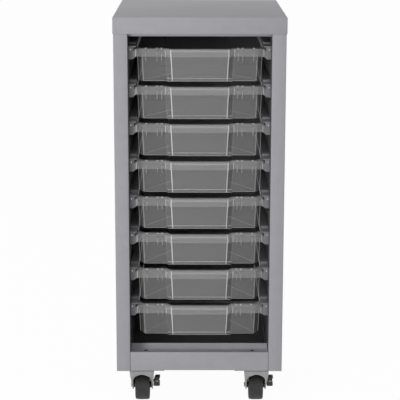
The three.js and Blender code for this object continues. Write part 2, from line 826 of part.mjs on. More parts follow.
// The rocker with its pivot at the origin: slotted to straddle the fork's lug, bored from the rear for
// the pin and notched between its lobes
function rockerGeometry() {
  const pin = ROCKER_PIN_DIAMETER / 2;
  const edge = pin + ROCKER_LUG_EDGE;
  const pinEnd = ROCKER_LENGTH / 2 - ROCKER_PIN_SETBACK + FIT;
  const slot = block(
    -ROCKER_HUB - FIT,
    edge + FIT,
    -ROCKER_LUG / 2 - FIT,
    ROCKER_LUG / 2 + FIT,
    -edge - ROCKER_LUG_ROOM,
    edge + ROCKER_LUG_ROOM,
  );
  const notch = block(
    edge + FIT + ROCKER_WALL,
    ROCKER_LOWER_REACH + ROCKER_UPPER_REACH,
    -ROCKER_LENGTH,
    ROCKER_LENGTH,
    -ROCKER_NOTCH / 2,
    ROCKER_NOTCH / 2,
  );
  return cut(
    alongY(rockerOutline(), -ROCKER_LENGTH / 2, ROCKER_LENGTH / 2),
    slot,
    notch,
    pinAlongY(pin + FIT, -pinEnd, ROCKER_LENGTH, 0, 0, PIN_SIDES),
  );
}

// Wheel turned about its axle: hub, web, tyre and crowned tread, with a flat facet on the floor
function wheelGeometry() {
  const radius = WHEEL_DIAMETER / 2;
  const half = WHEEL_WIDTH / 2;
  const hub = FORK_LEG_RADIUS - FORK_SHEET - 2 * FIT;
  const hubHalf = forkSide(axleLevel - hub) - FORK_SHEET - 2 * FIT;
  const rim = radius - TYRE_THICKNESS;
  const bore = AXLE_DIAMETER / 2 + FIT;
  const outer = [
    [bore, hubHalf],
    [hub, hubHalf],
    [hub, WHEEL_WEB / 2],
    [rim - WHEEL_RIM_SLOPE, WHEEL_WEB / 2],
    [rim, half - TREAD_CROWN],
    [radius - TREAD_CROWN - SHOULDER_DROP, half],
    [radius - TREAD_CROWN, half - SHOULDER_WIDTH],
    [radius, TREAD_WIDTH / 2],
  ];
  const profile = [...outer.map(([r, a]) => [r, -a]), ...outer.slice().reverse(), [bore, -hubHalf]];
  const facet = 1 / Math.cos(Math.PI / WHEEL_SIDES);
  const points = profile.map(([r, a]) => new THREE.Vector2(r * facet, a));
  const turned = new THREE.LatheGeometry(points, WHEEL_SIDES, Math.PI / WHEEL_SIDES);
  return turned.rotateZ(Math.PI / 2).translate(0, CASTER_TRAIL, axleLevel);
}

// Axle bolt: a hexagon head on one side of the fork and a plain end just proud of the brake's side
function axleGeometry() {
  const [y, z] = [CASTER_TRAIL, axleLevel];
  const hex = AXLE_HEAD_WIDTH / Math.sqrt(3);
  const headSeat = forkSide(z + hex) + FIT;
  const end = forkSide(z) + AXLE_END;
  return join(
    pinAlongX(AXLE_DIAMETER / 2, -headSeat - AXLE_HEAD / 2, end, y, z, PIN_SIDES),
    pinAlongX(hex, -headSeat - AXLE_HEAD, -headSeat, y, z, HEX_SIDES),
  );
}

// Assembly

function piece(parent, name, geometry, material) {
  const mesh = new THREE.Mesh(geometry, material);
  mesh.name = name;
  parent.add(mesh);
  return mesh;
}

const unit = new THREE.Group();

const cabinet = new THREE.Group();
cabinet.position.set(0, -bodyDepth / 2, casterHeight);
unit.add(cabinet);

piece(cabinet, 'top_panel', capGeometry(), greyPaint);
piece(cabinet, 'top_front_rail', topFrontRailGeometry(), greyPaint);
piece(cabinet, 'front_sill', frontSillGeometry(), greyPaint);
piece(cabinet, 'rear_sill', rearSillGeometry(), greyPaint);
piece(cabinet, 'floor_pan', floorPanGeometry(), blackPaint);
piece(cabinet, 'back_panel', backPanelGeometry(), blackPaint);

for (const [hand, side] of [['left', -1], ['right', 1]]) {
  piece(cabinet, `${hand}_side_panel`, sidePanelGeometry(side), greyPaint);
  piece(cabinet, `${hand}_liner`, linerGeometry(side), blackPaint);
  for (const end of ['front', 'rear']) {
    piece(cabinet, `corner_plate_${end}_${hand}`, cornerPlateGeometry(side, end), greyPaint);
  }
}

// Trays and runners are numbered from the top
const tray = trayGeometry();
const runners = { left: runnerGeometry(-1), right: runnerGeometry(1) };
for (let number = 1; number <= TRAY_COUNT; number += 1) {
  const rim = lowestRim + (TRAY_COUNT - number) * trayPitch;
  piece(cabinet, `tray_${number}`, tray, clearPlastic).position.set(0, RIM_SETBACK, rim);
  piece(cabinet, `runner_${number}_left`, runners.left, runnerPlastic).position.z = rim;
  piece(cabinet, `runner_${number}_right`, runners.right, runnerPlastic).position.z = rim;
}

const casterMount = casterMountGeometry();
const wheel = wheelGeometry();
const axle = axleGeometry();
for (const [end, along] of [['front', -1], ['rear', 1]]) {
  const braked = end === 'front';
  const fork = forkGeometry(braked);
  for (const [hand, side] of [['left', -1], ['right', 1]]) {
    const caster = new THREE.Group();
    caster.position.set(side * (bodySide - CASTER_INSET), along * (bodyDepth / 2 - CASTER_INSET), 0);
    unit.add(caster);
    piece(caster, `caster_mount_${end}_${hand}`, casterMount, boltSteel);
    piece(caster, `caster_fork_${end}_${hand}`, fork, forkSteel);
    piece(caster, `wheel_${end}_${hand}`, wheel, tyreRubber);
    piece(caster, `axle_bolt_${end}_${hand}`, axle, boltSteel);
    if (braked) {
      const { x, y, z } = rockerPivot();
      piece(caster, `brake_rocker_${hand}`, rockerGeometry(), rockerPlastic).position.set(x, y, z);
    }
  }
}

export default unit;
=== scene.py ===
"""Looks of the classroom tray storage unit: steel cabinet, clear trays, moulded runners and casters."""

import json
import math

import bmesh
import bpy
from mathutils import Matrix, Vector
from mathutils.bvhtree import BVHTree

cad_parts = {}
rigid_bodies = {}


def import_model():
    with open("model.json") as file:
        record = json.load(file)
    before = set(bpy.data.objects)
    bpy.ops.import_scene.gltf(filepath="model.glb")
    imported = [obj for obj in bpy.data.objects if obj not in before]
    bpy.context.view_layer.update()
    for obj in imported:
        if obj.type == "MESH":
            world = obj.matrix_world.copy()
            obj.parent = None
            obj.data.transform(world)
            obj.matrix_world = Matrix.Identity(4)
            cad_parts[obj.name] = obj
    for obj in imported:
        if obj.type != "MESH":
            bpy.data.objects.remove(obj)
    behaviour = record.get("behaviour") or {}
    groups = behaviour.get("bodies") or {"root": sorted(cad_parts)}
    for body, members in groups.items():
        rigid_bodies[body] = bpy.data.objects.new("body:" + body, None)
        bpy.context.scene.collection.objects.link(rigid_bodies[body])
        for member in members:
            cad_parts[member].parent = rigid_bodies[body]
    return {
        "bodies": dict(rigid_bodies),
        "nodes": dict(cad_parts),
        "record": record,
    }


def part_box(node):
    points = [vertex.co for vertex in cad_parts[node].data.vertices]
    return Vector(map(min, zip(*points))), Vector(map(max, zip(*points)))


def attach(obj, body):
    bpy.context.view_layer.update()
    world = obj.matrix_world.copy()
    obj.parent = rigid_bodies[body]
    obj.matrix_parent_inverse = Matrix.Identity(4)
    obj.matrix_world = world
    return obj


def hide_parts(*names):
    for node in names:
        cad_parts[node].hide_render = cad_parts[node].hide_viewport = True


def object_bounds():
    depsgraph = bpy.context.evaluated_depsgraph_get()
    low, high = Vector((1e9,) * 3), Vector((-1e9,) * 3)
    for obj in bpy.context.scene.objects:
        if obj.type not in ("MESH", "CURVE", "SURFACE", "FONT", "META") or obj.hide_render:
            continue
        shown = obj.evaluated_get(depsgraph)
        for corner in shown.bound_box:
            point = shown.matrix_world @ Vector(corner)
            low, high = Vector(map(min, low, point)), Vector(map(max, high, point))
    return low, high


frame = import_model()
cad_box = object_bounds()

MM = 0.001

# Camera: metres, degrees, and the focal length in millimetres
CAMERA_PLACE = (-0.0137, -3.587, 1.306)
CAMERA_PITCH = 12.877
CAMERA_YAW = 0.226
CAMERA_ROLL = -0.11
CAMERA_LENS = 127.77

# Background, floor and lamps: metres and watts
AMBIENT = 0.38
BACKGROUND_WHITE = 1.0
FLOOR_SIZE = 60.0
FLOOR_COLOUR = (0.9, 0.9, 0.9, 1)
FLOOR_ROUGHNESS = 0.9
FLOOR_GLOW = 0.97
LAMPS = {
    "front_softbox": {"place": (-2.6, -4.1, 1.15), "size": 1.4, "power": 97},
    "high_softbox": {"place": (-0.5, -3.0, 3.8), "size": 2.0, "power": 42},
}

# Colours, linear
PAINT_GREY = (0.325, 0.325, 0.345)
PAINT_BLACK = (0.09, 0.09, 0.092)
RUNNER_GREY = (0.17, 0.17, 0.178)
ZINC = (0.37, 0.37, 0.367)
BRIGHT_ZINC = (0.36, 0.36, 0.36)
RUBBER = (0.024, 0.024, 0.0245)
HUB_GREY = (0.05, 0.05, 0.052)
ROCKER_BLACK = (0.028, 0.028, 0.029)
# Near black: painted shade for the fork's inner faces, in its arch
FORK_PAINTED_SHADE = (0.012, 0.012, 0.012)
CLEAR = (0.54, 0.54, 0.54)
# A darker copy of the clear moulding's colour: painted shade on the tray's front panels and skirt
CLEAR_IN_PAINTED_SHADE = (0.4, 0.4, 0.4)
# Near white for painted highlights along the tray's edges, ridges and domes
PAINTED_HIGHLIGHT = (0.86, 0.86, 0.86)
SCREW_STEEL = (0.75, 0.75, 0.75)

# Surface texture
NOISE_LOW = 0.3
NOISE_HIGH = 0.7
NOISE_DETAIL = 3.0
GRAIN_DEPTH = 0.1 * MM
TREAD_DEPTH = 0.15 * MM
PAINT_SPECULAR = 0.35
CLEAR_DRIFT = 0.4
CLEAR_IOR = 1.55

# Edges and facets
SHARP_ANGLE = math.radians(28)
FLAT_ANGLE = math.radians(0.6)
MERGE_DISTANCE = 0.001 * MM
RAY_START = 0.1 * MM
FILLET_STEPS = 4
FILLET_MIDDLE = (1, 2)
FILLET_REACH = 0.45
DOME_STEPS = 16
DOME_LEVELS = (0, 0.35, 0.7, 0.92)
ROUNDED_EDGES = {
    "body_paint": {"width": 0.2 * MM, "segments": 2},
    "interior_black": {"width": 0.2 * MM, "segments": 2},
    "runner_plastic": {"width": 0.8 * MM, "segments": 3},
    "fork_steel": {"width": 0.9 * MM, "segments": 3},
    "bolt_steel": {"width": 0.5 * MM, "segments": 2},
    "rocker_plastic": {"width": 1.6 * MM, "segments": 4},
}

# Tray, in millimetres: y = 0 at the front of the rim, z = 0 on top of the rim
TRAY_LOW, TRAY_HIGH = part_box("tray_1")
TRAY_SIDE = (TRAY_HIGH.x - TRAY_LOW.x) / 2 / MM
TRAY_LENGTH = (TRAY_HIGH.y - TRAY_LOW.y) / MM
TRAY_HEIGHT = (TRAY_HIGH.z - TRAY_LOW.z) / MM
TRAY_WALL = 2.0
TRAY_FOOT = 1.6
SIDE_LEAN = 3.5
FRONT_LEAN = 1.5
BACK_LEAN = 5.0
BULGE_SLOPE = 12.0
LEAST_CORNER = 1.0
RIM_THICKNESS = 2.2
RIM_EDGE = 1.4
RIM_SKIRT = 18.3
RIM_LIP = 5.0
RIM_SIDE_OVERHANG = 4.3
RIM_BACK_OVERHANG = 8.0
SKIRT_SWEEP = 1.2
BULGE_RIM_EDGE = 5.5
RIM = {
    "side": TRAY_SIDE,
    "front": 12.0,
    "back": TRAY_LENGTH,
    "bulge": 12.0,
    "bulge_side": 70.0,
    "corner": (3.4, 3.4),
    "sweep": 1.3,
    "edge_radius": 5.0,
    "corner_radius": 3.0,
    "side_radius": 3.0,
}
WALL_TOP = {
    "side": TRAY_SIDE - RIM_SIDE_OVERHANG,
    "front": 39.0,
    "back": TRAY_LENGTH - RIM_BACK_OVERHANG,
    "bulge": 17.0,
    "bulge_side": 70.0,
    "corner": (12.0, 22.0),
    "sweep": 8.0,
    "edge_radius": 6.0,
    "corner_radius": 5.0,
    "side_radius": 12.0,
}
WALL_FOOT = {
    **WALL_TOP,
    "side": WALL_TOP["side"] - SIDE_LEAN,
    "front": WALL_TOP["front"] + FRONT_LEAN,
    "back": WALL_TOP["back"] - BACK_LEAN,
    "bulge": 9.5,
    "bulge_side": 66.0,
}
GUSSETS = (91.5, 102.5, 129.0)
GUSSET_HALF = 0.8
GUSSET_DROP = 33.0
GUSSET_OVERLAP = 0.2
RIM_DOME_RADIUS = 2.4
RIM_DOME_HEIGHT = 2.2
RIM_DOME_AHEAD = 13.0
LEDGE_HEIGHT = 8.0
LEDGE_DEPTH = 3.5
LEDGE_EDGE = 1.0
CREASE_NEAR = (134.0, 53.0)
CREASE_FAR = (70.0, 159.0)
CREASE_HALF = 0.7
CREASE_HEIGHT = 0.7
CREASE_OVERLAP = 0.1

# Corners of the tray's plan, anticlockwise from the left of the middle section
(
    LEFT_ROOT, LEFT_EDGE, RIGHT_EDGE, RIGHT_ROOT,
    RIGHT_FRONT, RIGHT_NEAR, RIGHT_SWEEP, RIGHT_FAR, RIGHT_BACK,
    LEFT_BACK, LEFT_FAR, LEFT_SWEEP, LEFT_NEAR, LEFT_FRONT,
) = range(14)
FRONT_CORNERS = (RIGHT_FRONT, RIGHT_NEAR, LEFT_NEAR, LEFT_FRONT)

# Wheel, in millimetres; the shoulder's points are given below the tread and in from the side
WHEEL_STEPS = 72
WHEEL_HALF = 18.0
BORE = 4.3
HUB = 7.6
HUB_FACE = 9.0
HUB_CHAMFER = 1.0
HUB_FILLET = 1.5
HUB_RIM = 3.0
HUB_RIM_SLOPE = 1.6
HUB_RIM_SINK = 0.9
TYRE = 9.0
TYRE_SINK = 0.5
GROOVE_BOTTOM = 0.4
GROOVE_WIDTH = 1.0
GROOVE_DEPTH = 1.3
TREAD_SHOULDER = ((4.2, 0.0), (2.6, 0.3), (1.5, 1.2), (0.9, 2.7), (0.35, 6.5))
TREAD_FLAT = 1 / 3

# Steel link of the brake rocker, in millimetres from the lower left corner of the rocker's front
LINK_LOW = 11.6
LINK_HEIGHT = 3.0
LINK_START = 4.7
LINK_END = 11.8
LINK_PROUD = 0.3

# Bolts of the caster plates, in millimetres
PLATE_THICKNESS = 2.7
PLATE_BOLT_SPACING = 46.0
BOLT_SIDES = 6
BOLT_ACROSS = 10.0
BOLT_HEAD = 4.0
BOLT_CHAMFER = 0.8
BOLT_CHAMFER_SHARE = 0.88
WASHER_STEPS = 24
WASHER_MARGIN = 0.8
WASHER_THICKNESS = 0.8

# Runner screws and back rivets, in millimetres
SCREW_RADIUS = 1.9
SCREW_HEIGHT = 1.1
SCREW_INSET = 4.8
SCREW_DROP = 14.0
RIVET_RADIUS = 3.2
RIVET_HEIGHT = 1.0
RIVET_SPACING = 130.0
RIVET_INSET = 15.0


# Materials

def new_material(name):
    mat = bpy.data.materials.new(name)
    mat.use_nodes = True
    tree = mat.node_tree
    return mat, tree, tree.nodes["Principled BSDF"]


def noise(tree, scale, detail=NOISE_DETAIL):
    """A noise texture in object space; scale is in waves per metre."""
    place = tree.nodes.new("ShaderNodeTexCoord")
    node = tree.nodes.new("ShaderNodeTexNoise")
    node.inputs["Scale"].default_value = scale
    node.inputs["Detail"].default_value = detail
    tree.links.new(place.outputs["Object"], node.inputs["Vector"])
    return node.outputs["Fac"]


def ranged(tree, value, low, high):
    """The middle of a noise stretched to run from low to high."""
    node = tree.nodes.new("ShaderNodeMapRange")
    node.inputs["From Min"].default_value = NOISE_LOW
    node.inputs["From Max"].default_value = NOISE_HIGH
    node.inputs["To Min"].default_value = low
    node.inputs["To Max"].default_value = high
    tree.links.new(value, node.inputs["Value"])
    return node.outputs["Result"]


def mottled(tree, shader, colour, scale, spread):
    """Base colour that drifts by a share of itself over the surface."""
    ramp = tree.nodes.new("ShaderNodeValToRGB")
    dark, light = ramp.color_ramp.elements
    dark.position = NOISE_LOW
    light.position = NOISE_HIGH
    dark.color = (*(c * (1 - spread) for c in colour), 1)
    light.color = (*(c * (1 + spread) for c in colour), 1)
    tree.links.new(noise(tree, scale), ramp.inputs["Fac"])
    tree.links.new(ramp.outputs["Color"], shader.inputs["Base Color"])


def uneven_gloss(tree, shader, scale, roughness, drift):
    """Roughness that drifts to either side of its middle value."""
    value = ranged(tree, noise(tree, scale), roughness - drift, roughness + drift)
    tree.links.new(value, shader.inputs["Roughness"])


def bumped(tree, shader, scale, detail, strength, depth):
    bump = tree.nodes.new("ShaderNodeBump")
    bump.inputs["Strength"].default_value = strength
    bump.inputs["Distance"].default_value = depth
    tree.links.new(noise(tree, scale, detail), bump.inputs["Height"])
    tree.links.new(bump.outputs["Normal"], shader.inputs["Normal"])


def powder_coat(name, colour, roughness):
    mat, tree, shader = new_material(name)
    mottled(tree, shader, colour, scale=45, spread=0.025)
    uneven_gloss(tree, shader, scale=260, roughness=roughness, drift=0.05)
    bumped(tree, shader, scale=900, detail=2, strength=0.12, depth=GRAIN_DEPTH)
    shader.inputs["Specular IOR Level"].default_value = PAINT_SPECULAR
    return mat


def moulded_plastic(name, colour, roughness, grain):
    mat, tree, shader = new_material(name)
    mottled(tree, shader, colour, scale=120, spread=0.08)
    uneven_gloss(tree, shader, scale=400, roughness=roughness, drift=0.07)
    bumped(tree, shader, scale=grain, detail=2, strength=0.15, depth=GRAIN_DEPTH)
    return mat


def plated_steel(name, colour, roughness, metal=1.0):
    mat, tree, shader = new_material(name)
    mottled(tree, shader, colour, scale=90, spread=0.12)
    uneven_gloss(tree, shader, scale=350, roughness=roughness, drift=0.08)
    bumped(tree, shader, scale=1200, detail=2, strength=0.06, depth=GRAIN_DEPTH)
    shader.inputs["Metallic"].default_value = metal
    return mat


def tread_rubber(name, colour):
    mat, tree, shader = new_material(name)
    mottled(tree, shader, colour, scale=70, spread=0.3)
    uneven_gloss(tree, shader, scale=500, roughness=0.59, drift=0.09)
    bumped(tree, shader, scale=1500, detail=3, strength=0.25, depth=TREAD_DEPTH)
    return mat


def clear_plastic(name, colour, haze, roughness, painted_glow=0.0):
    """Clear moulding: haze is the share of light that each of its faces scatters or reflects.

    An edge can also be given a painted glow: an emission that stands in for light caught on it.
    """
    mat, tree, shader = new_material(name)
    mottled(tree, shader, colour, scale=30, spread=0.02)
    uneven_gloss(tree, shader, scale=220, roughness=roughness, drift=CLEAR_DRIFT * roughness)
    shader.inputs["Alpha"].default_value = haze
    # Painted glow: emission that stands in for light on the edge
    shader.inputs["Emission Strength"].default_value = painted_glow
    shader.inputs["IOR"].default_value = CLEAR_IOR
    return mat


MATERIALS = {
    "body_paint": powder_coat("grey_powder_coat", PAINT_GREY, roughness=0.5),
    "interior_black": powder_coat("black_powder_coat", PAINT_BLACK, roughness=0.6),
    "runner_plastic": moulded_plastic("runner_moulding", RUNNER_GREY, roughness=0.42, grain=700),
    "fork_steel": plated_steel("zinc_pressing", ZINC, roughness=0.45, metal=0.3),
    "bolt_steel": plated_steel("zinc_bolt", BRIGHT_ZINC, roughness=0.32),
    "wheel_rubber": tread_rubber("wheel_tread", RUBBER),
    "rocker_plastic": moulded_plastic("rocker_moulding", ROCKER_BLACK, roughness=0.4, grain=900),
    "tray_clear": clear_plastic("clear_moulding", CLEAR, haze=0.32, roughness=0.12),
}
HUB_PLASTIC = moulded_plastic("hub_moulding", HUB_GREY, roughness=0.45, grain=800)
POLISHED_SCREW = plated_steel("polished_screw", SCREW_STEEL, roughness=0.25)
# Painted shade: a near-black finish for faces that look into the fork's hollow, where shade falls
PAINTED_SHADE_FINISHES = {
    "fork_steel": moulded_plastic("fork_painted_shade", FORK_PAINTED_SHADE, roughness=0.6, grain=900),
}
# Finishes of the tray. The near-white ones are painted highlights on edges, ridges and domes, one with a
# painted glow as well; the dim face is a painted shade.
TRAY_FINISHES = [
    MATERIALS["tray_clear"],
    clear_plastic("bright_painted_highlight", PAINTED_HIGHLIGHT, haze=0.75, roughness=0.2),
    clear_plastic("soft_painted_highlight", PAINTED_HIGHLIGHT, haze=0.4, roughness=0.25),
    clear_plastic("painted_shade_face", CLEAR_IN_PAINTED_SHADE, haze=0.32, roughness=0.15),
    clear_plastic("thin_wall", CLEAR, haze=0.03, roughness=0.1),
    clear_plastic("tray_floor", CLEAR, haze=0.01, roughness=0.1),
    clear_plastic("glowing_painted_highlight", PAINTED_HIGHLIGHT, haze=0.75, roughness=0.2, painted_glow=0.2),
    clear_plastic("round_painted_highlight", PAINTED_HIGHLIGHT, haze=0.26, roughness=0.25),
]
CLEAR_FACE, BRIGHT_PAINTED_HIGHLIGHT, SOFT_PAINTED_HIGHLIGHT, PAINTED_SHADE_FACE, THIN_WALL, THIN_FLOOR, GLOWING_PAINTED_HIGHLIGHT, ROUND_PAINTED_HIGHLIGHT = range(8)


# Pieces

SLOT_OF = {part["node"]: part["material_slot"] for part in frame["record"]["subparts"]}
BODY_OF = {
    node: body
    for body, members in frame["record"]["behaviour"]["bodies"].items()
    for node in members
}


def named(names, start):
    return [name for name in names if name.startswith(start)]


def centre_of(node):
    low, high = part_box(node)
    return (low + high) / 2


def add_piece(name, mesh, body, slot, place=(0, 0, 0)):
    piece = bpy.data.objects.new(name, mesh)
    bpy.context.scene.collection.objects.link(piece)
    piece.location = place
    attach(piece, body)
    return piece


def mesh_from(name, bm, *materials):
    """The finished mesh: faces out, smooth, with its sharp edges kept sharp."""
    bmesh.ops.recalc_face_normals(bm, faces=bm.faces)
    mesh = bpy.data.meshes.new(name)
    bm.to_mesh(mesh)
    bm.free()
    for mat in materials:
        mesh.materials.append(mat)
    mesh.shade_smooth()
    mesh.set_sharp_from_angle(angle=SHARP_ANGLE)
    return mesh


def solid_of(node):
    """A clean copy of a node's solid, with its flat faces whole again."""
    bm = bmesh.new()
    bm.from_mesh(frame["nodes"][node].data)
    bmesh.ops.remove_doubles(bm, verts=bm.verts, dist=MERGE_DISTANCE)
    bmesh.ops.dissolve_limit(bm, angle_limit=FLAT_ANGLE, verts=bm.verts, edges=bm.edges)
    return bm


def soften(bm, width, segments):
    """Round every sharp edge."""
    sharp = [e for e in bm.edges if len(e.link_faces) == 2 and e.calc_face_angle(0) > SHARP_ANGLE]
    bmesh.ops.bevel(
        bm,
        geom=sharp,
        offset=width,
        offset_type="OFFSET",
        segments=segments,
        profile=0.5,
        affect="EDGES",
        clamp_overlap=True,
    )


def mark_painted_shade(bm):
    """Give the second material, a painted shade, to faces that look at the solid itself or down into its
    hollow.
    """
    tree = BVHTree.FromBMesh(bm)
    for face in bm.faces:
        start = face.calc_center_median() + face.normal * RAY_START
        facing = tree.ray_cast(start, face.normal)[0]
        face.material_index = int(facing is not None)


def softened_copy(node):
    """The node's own solid with rounded edges, standing in its place."""
    slot = SLOT_OF[node]
    bm = solid_of(node)
    soften(bm, **ROUNDED_EDGES[slot])
    finishes = [MATERIALS[slot]]
    # Faces inside the fork carry painted shade
    if slot in PAINTED_SHADE_FINISHES:
        mark_painted_shade(bm)
        finishes.append(PAINTED_SHADE_FINISHES[slot])
    piece = add_piece(f"{node}_finish", mesh_from(node, bm, *finishes), BODY_OF[node], slot)
    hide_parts(node)


def make_rigid_copies():
    for node in BODY_OF:
        if SLOT_OF[node] in ROUNDED_EDGES:
            softened_copy(node)


def join_rings(bm, rings, mark=lambda level, j: 0):
    """Faces between rings of points; mark gives each face's material number."""
    made = [[bm.verts.new(p) for p in ring] for ring in rings]
    count = len(made[0])
    for level, (low, high) in enumerate(zip(made, made[1:])):
        for j in range(count):
            k = (j + 1) % count
            face = bm.faces.new((low[j], low[k], high[k], high[j]))
            face.material_index = mark(level, j)
    return made


def close_ends(bm, made, number=0):
    """Faces across the first and the last of the joined rings."""
    for ring in (made[0][::-1], made[-1]):
        bm.faces.new(ring).material_index = number


def add_prism(bm, outline_yz, x0, x1, number=0):
    """A plate across X with the given outline; gives its two sides, then its edges in order."""
    ends = [[bm.verts.new((x, y, z)) for y, z in outline_yz] for x in (x0, x1)]
    faces = [bm.faces.new(ends[0]), bm.faces.new(ends[1][::-1])]
    for j in range(len(outline_yz)):
        k = (j + 1) % len(outline_yz)
        faces.append(bm.faces.new((ends[0][j], ends[1][j], ends[1][k], ends[0][k])))
    for face in faces:
        face.material_index = number
    return faces


def around(steps):
    """Directions in the XY plane, evenly round a circle."""
    angles = [2 * math.pi * j / steps for j in range(steps)]
    return [Vector((math.cos(a), math.sin(a), 0)) for a in angles]


def add_dome(bm, centre, direction, radius, height, number=0):
    """A low rounded head that stands on a surface."""
    turn = Vector(direction).to_track_quat("Z", "X")
    rings = []
    for share in DOME_LEVELS:
        lift = Vector((0, 0, height * math.sin(share * math.pi / 2)))
        reach = radius * math.cos(share * math.pi / 2)
        rings.append([Vector(centre) + turn @ (reach * out + lift) for out in around(DOME_STEPS)])
    made = join_rings(bm, rings, lambda level, j: number)
    close_ends(bm, made, number)


def filleted(corners):
    """A closed outline with its corners (x, y, radius) rounded; each point keeps its corner's number.

    A corner on a straight run has its points spread to the radius on either side.
    """
    points = []
    count = len(corners)
    for i, (x, y, radius) in enumerate(corners):
        here = Vector((x, y))
        back = Vector(corners[i - 1][:2]) - here
        on = Vector(corners[(i + 1) % count][:2]) - here
        turning = math.pi - back.angle(on)
        wanted = radius * math.tan(turning / 2) if turning > FLAT_ANGLE else radius
        reach = min(wanted, FILLET_REACH * back.length, FILLET_REACH * on.length)
        start = here + back.normalized() * reach
        end = here + on.normalized() * reach
        for step in range(FILLET_STEPS + 1):
            t = step / FILLET_STEPS
            p = start * (1 - t) ** 2 + here * (2 * t * (1 - t)) + end * t ** 2
            points.append((p.x, p.y, i))
    return points


def fillet_step(j):
    """The place of an outline's point among the points of its corner."""
    return j % (FILLET_STEPS + 1)


# Trays

def tray_outline(plan, inset=0.0):
    """The tray's plan at one level: straight sides, cut corners and a forward middle section."""
    side, front, back = plan["side"] - inset, plan["front"] + inset, plan["back"] - inset
    edge = plan["bulge_side"] - inset / 2
    wide, long = (max(c - inset / 2, LEAST_CORNER) for c in plan["corner"])
    bend, turn = plan["edge_radius"], plan["corner_radius"]
    right = [
        (edge, front - plan["bulge"], bend),
        (edge + BULGE_SLOPE, front, bend),
        (side - wide, front, turn),
        (side, front + long, plan["side_radius"]),
        (side, front + long + plan["sweep"], SKIRT_SWEEP / 2),
        (side, back - long, turn),
        (side - wide, back, turn),
    ]
    left = [(-x, y, radius) for x, y, radius in reversed(right)]
    return filleted(left[-2:] + right + left[:-2])


def tray_ring(plan, inset, z):
    return [(x, y, z) for x, y, _ in tray_outline(plan, inset)]


def edge_ring(inset, lift):
    """The lower edge of the rim: a deep skirt across the front that sweeps up to a short lip."""
    ring = []
    for j, (x, y, corner) in enumerate(tray_outline(RIM, inset)):
        share = fillet_step(j) / FILLET_STEPS
        behind = float(RIGHT_SWEEP < corner < LEFT_SWEEP)
        rise = {RIGHT_SWEEP: share, LEFT_SWEEP: 1 - share}.get(corner, behind)
        ring.append((x, y, lift - RIM_SKIRT + (RIM_SKIRT - RIM_LIP) * rise))
    return ring


def rim_edge_ring(angle):
    """The rim's rounded upper edge, with a larger round along the middle section."""
    small, large = (
        tray_ring(RIM, edge * (1 - math.cos(angle)), -edge * (1 - math.sin(angle)))
        for edge in (RIM_EDGE, BULGE_RIM_EDGE)
    )
    corners = [corner for _, _, corner in tray_outline(RIM)]
    ring = []
    for j, corner in enumerate(corners):
        share = fillet_step(j) / FILLET_STEPS
        weight = {LEFT_ROOT: share, LEFT_EDGE: 1, RIGHT_EDGE: 1, RIGHT_ROOT: 1 - share}.get(corner, 0)
        ring.append(Vector(small[j]).lerp(Vector(large[j]), weight))
    return ring


def tray_rings():
    """Rings of the tray's skin, from its foot up the wall, round the rim and down inside.

    The wall has one more ring, level with the skirt's lower edge. Also gives where each part starts.
    """
    floor = -TRAY_HEIGHT
    quarter = [math.pi / 2 * step / FILLET_STEPS for step in range(FILLET_STEPS + 1)]
    foot = [
        tray_ring(WALL_FOOT, TRAY_FOOT * (1 - math.sin(a)), floor + TRAY_FOOT * (1 - math.cos(a)))
        for a in quarter
    ]
    wall_top = tray_ring(WALL_TOP, 0, -RIM_THICKNESS)
    covered = (TRAY_HEIGHT - TRAY_FOOT - RIM_SKIRT) / (TRAY_HEIGHT - TRAY_FOOT - RIM_THICKNESS)
    wall = [[Vector(low).lerp(Vector(high), covered) for low, high in zip(foot[-1], wall_top)]]
    round_by = RIM_THICKNESS / 4
    skirt = [
        wall_top,
        tray_ring(RIM, RIM_THICKNESS, -RIM_THICKNESS),
        edge_ring(RIM_THICKNESS, round_by),
        edge_ring(RIM_THICKNESS - round_by, 0),
        edge_ring(round_by, 0),
        edge_ring(0, round_by),
    ]
    top_edge = [rim_edge_ring(a) for a in quarter]
    mouth = [tray_ring(WALL_TOP, TRAY_WALL * math.sin(a), -TRAY_WALL * (1 - math.cos(a))) for a in quarter]
    inside = [
        tray_ring(
            WALL_FOOT,
            TRAY_WALL + TRAY_FOOT * (1 - math.cos(a)),
            floor + TRAY_WALL + TRAY_FOOT * (1 - math.sin(a)),
        )
        for a in quarter
    ]
    parts = {
        "foot": foot,
        "wall": wall,
        "skirt": skirt,
        "top_edge": top_edge,
        "mouth": mouth,
        "inside": inside,
    }
    starts = {}
    rings = []
    for name, part in parts.items():
        starts[name] = len(rings)
        rings += part
    return rings, starts


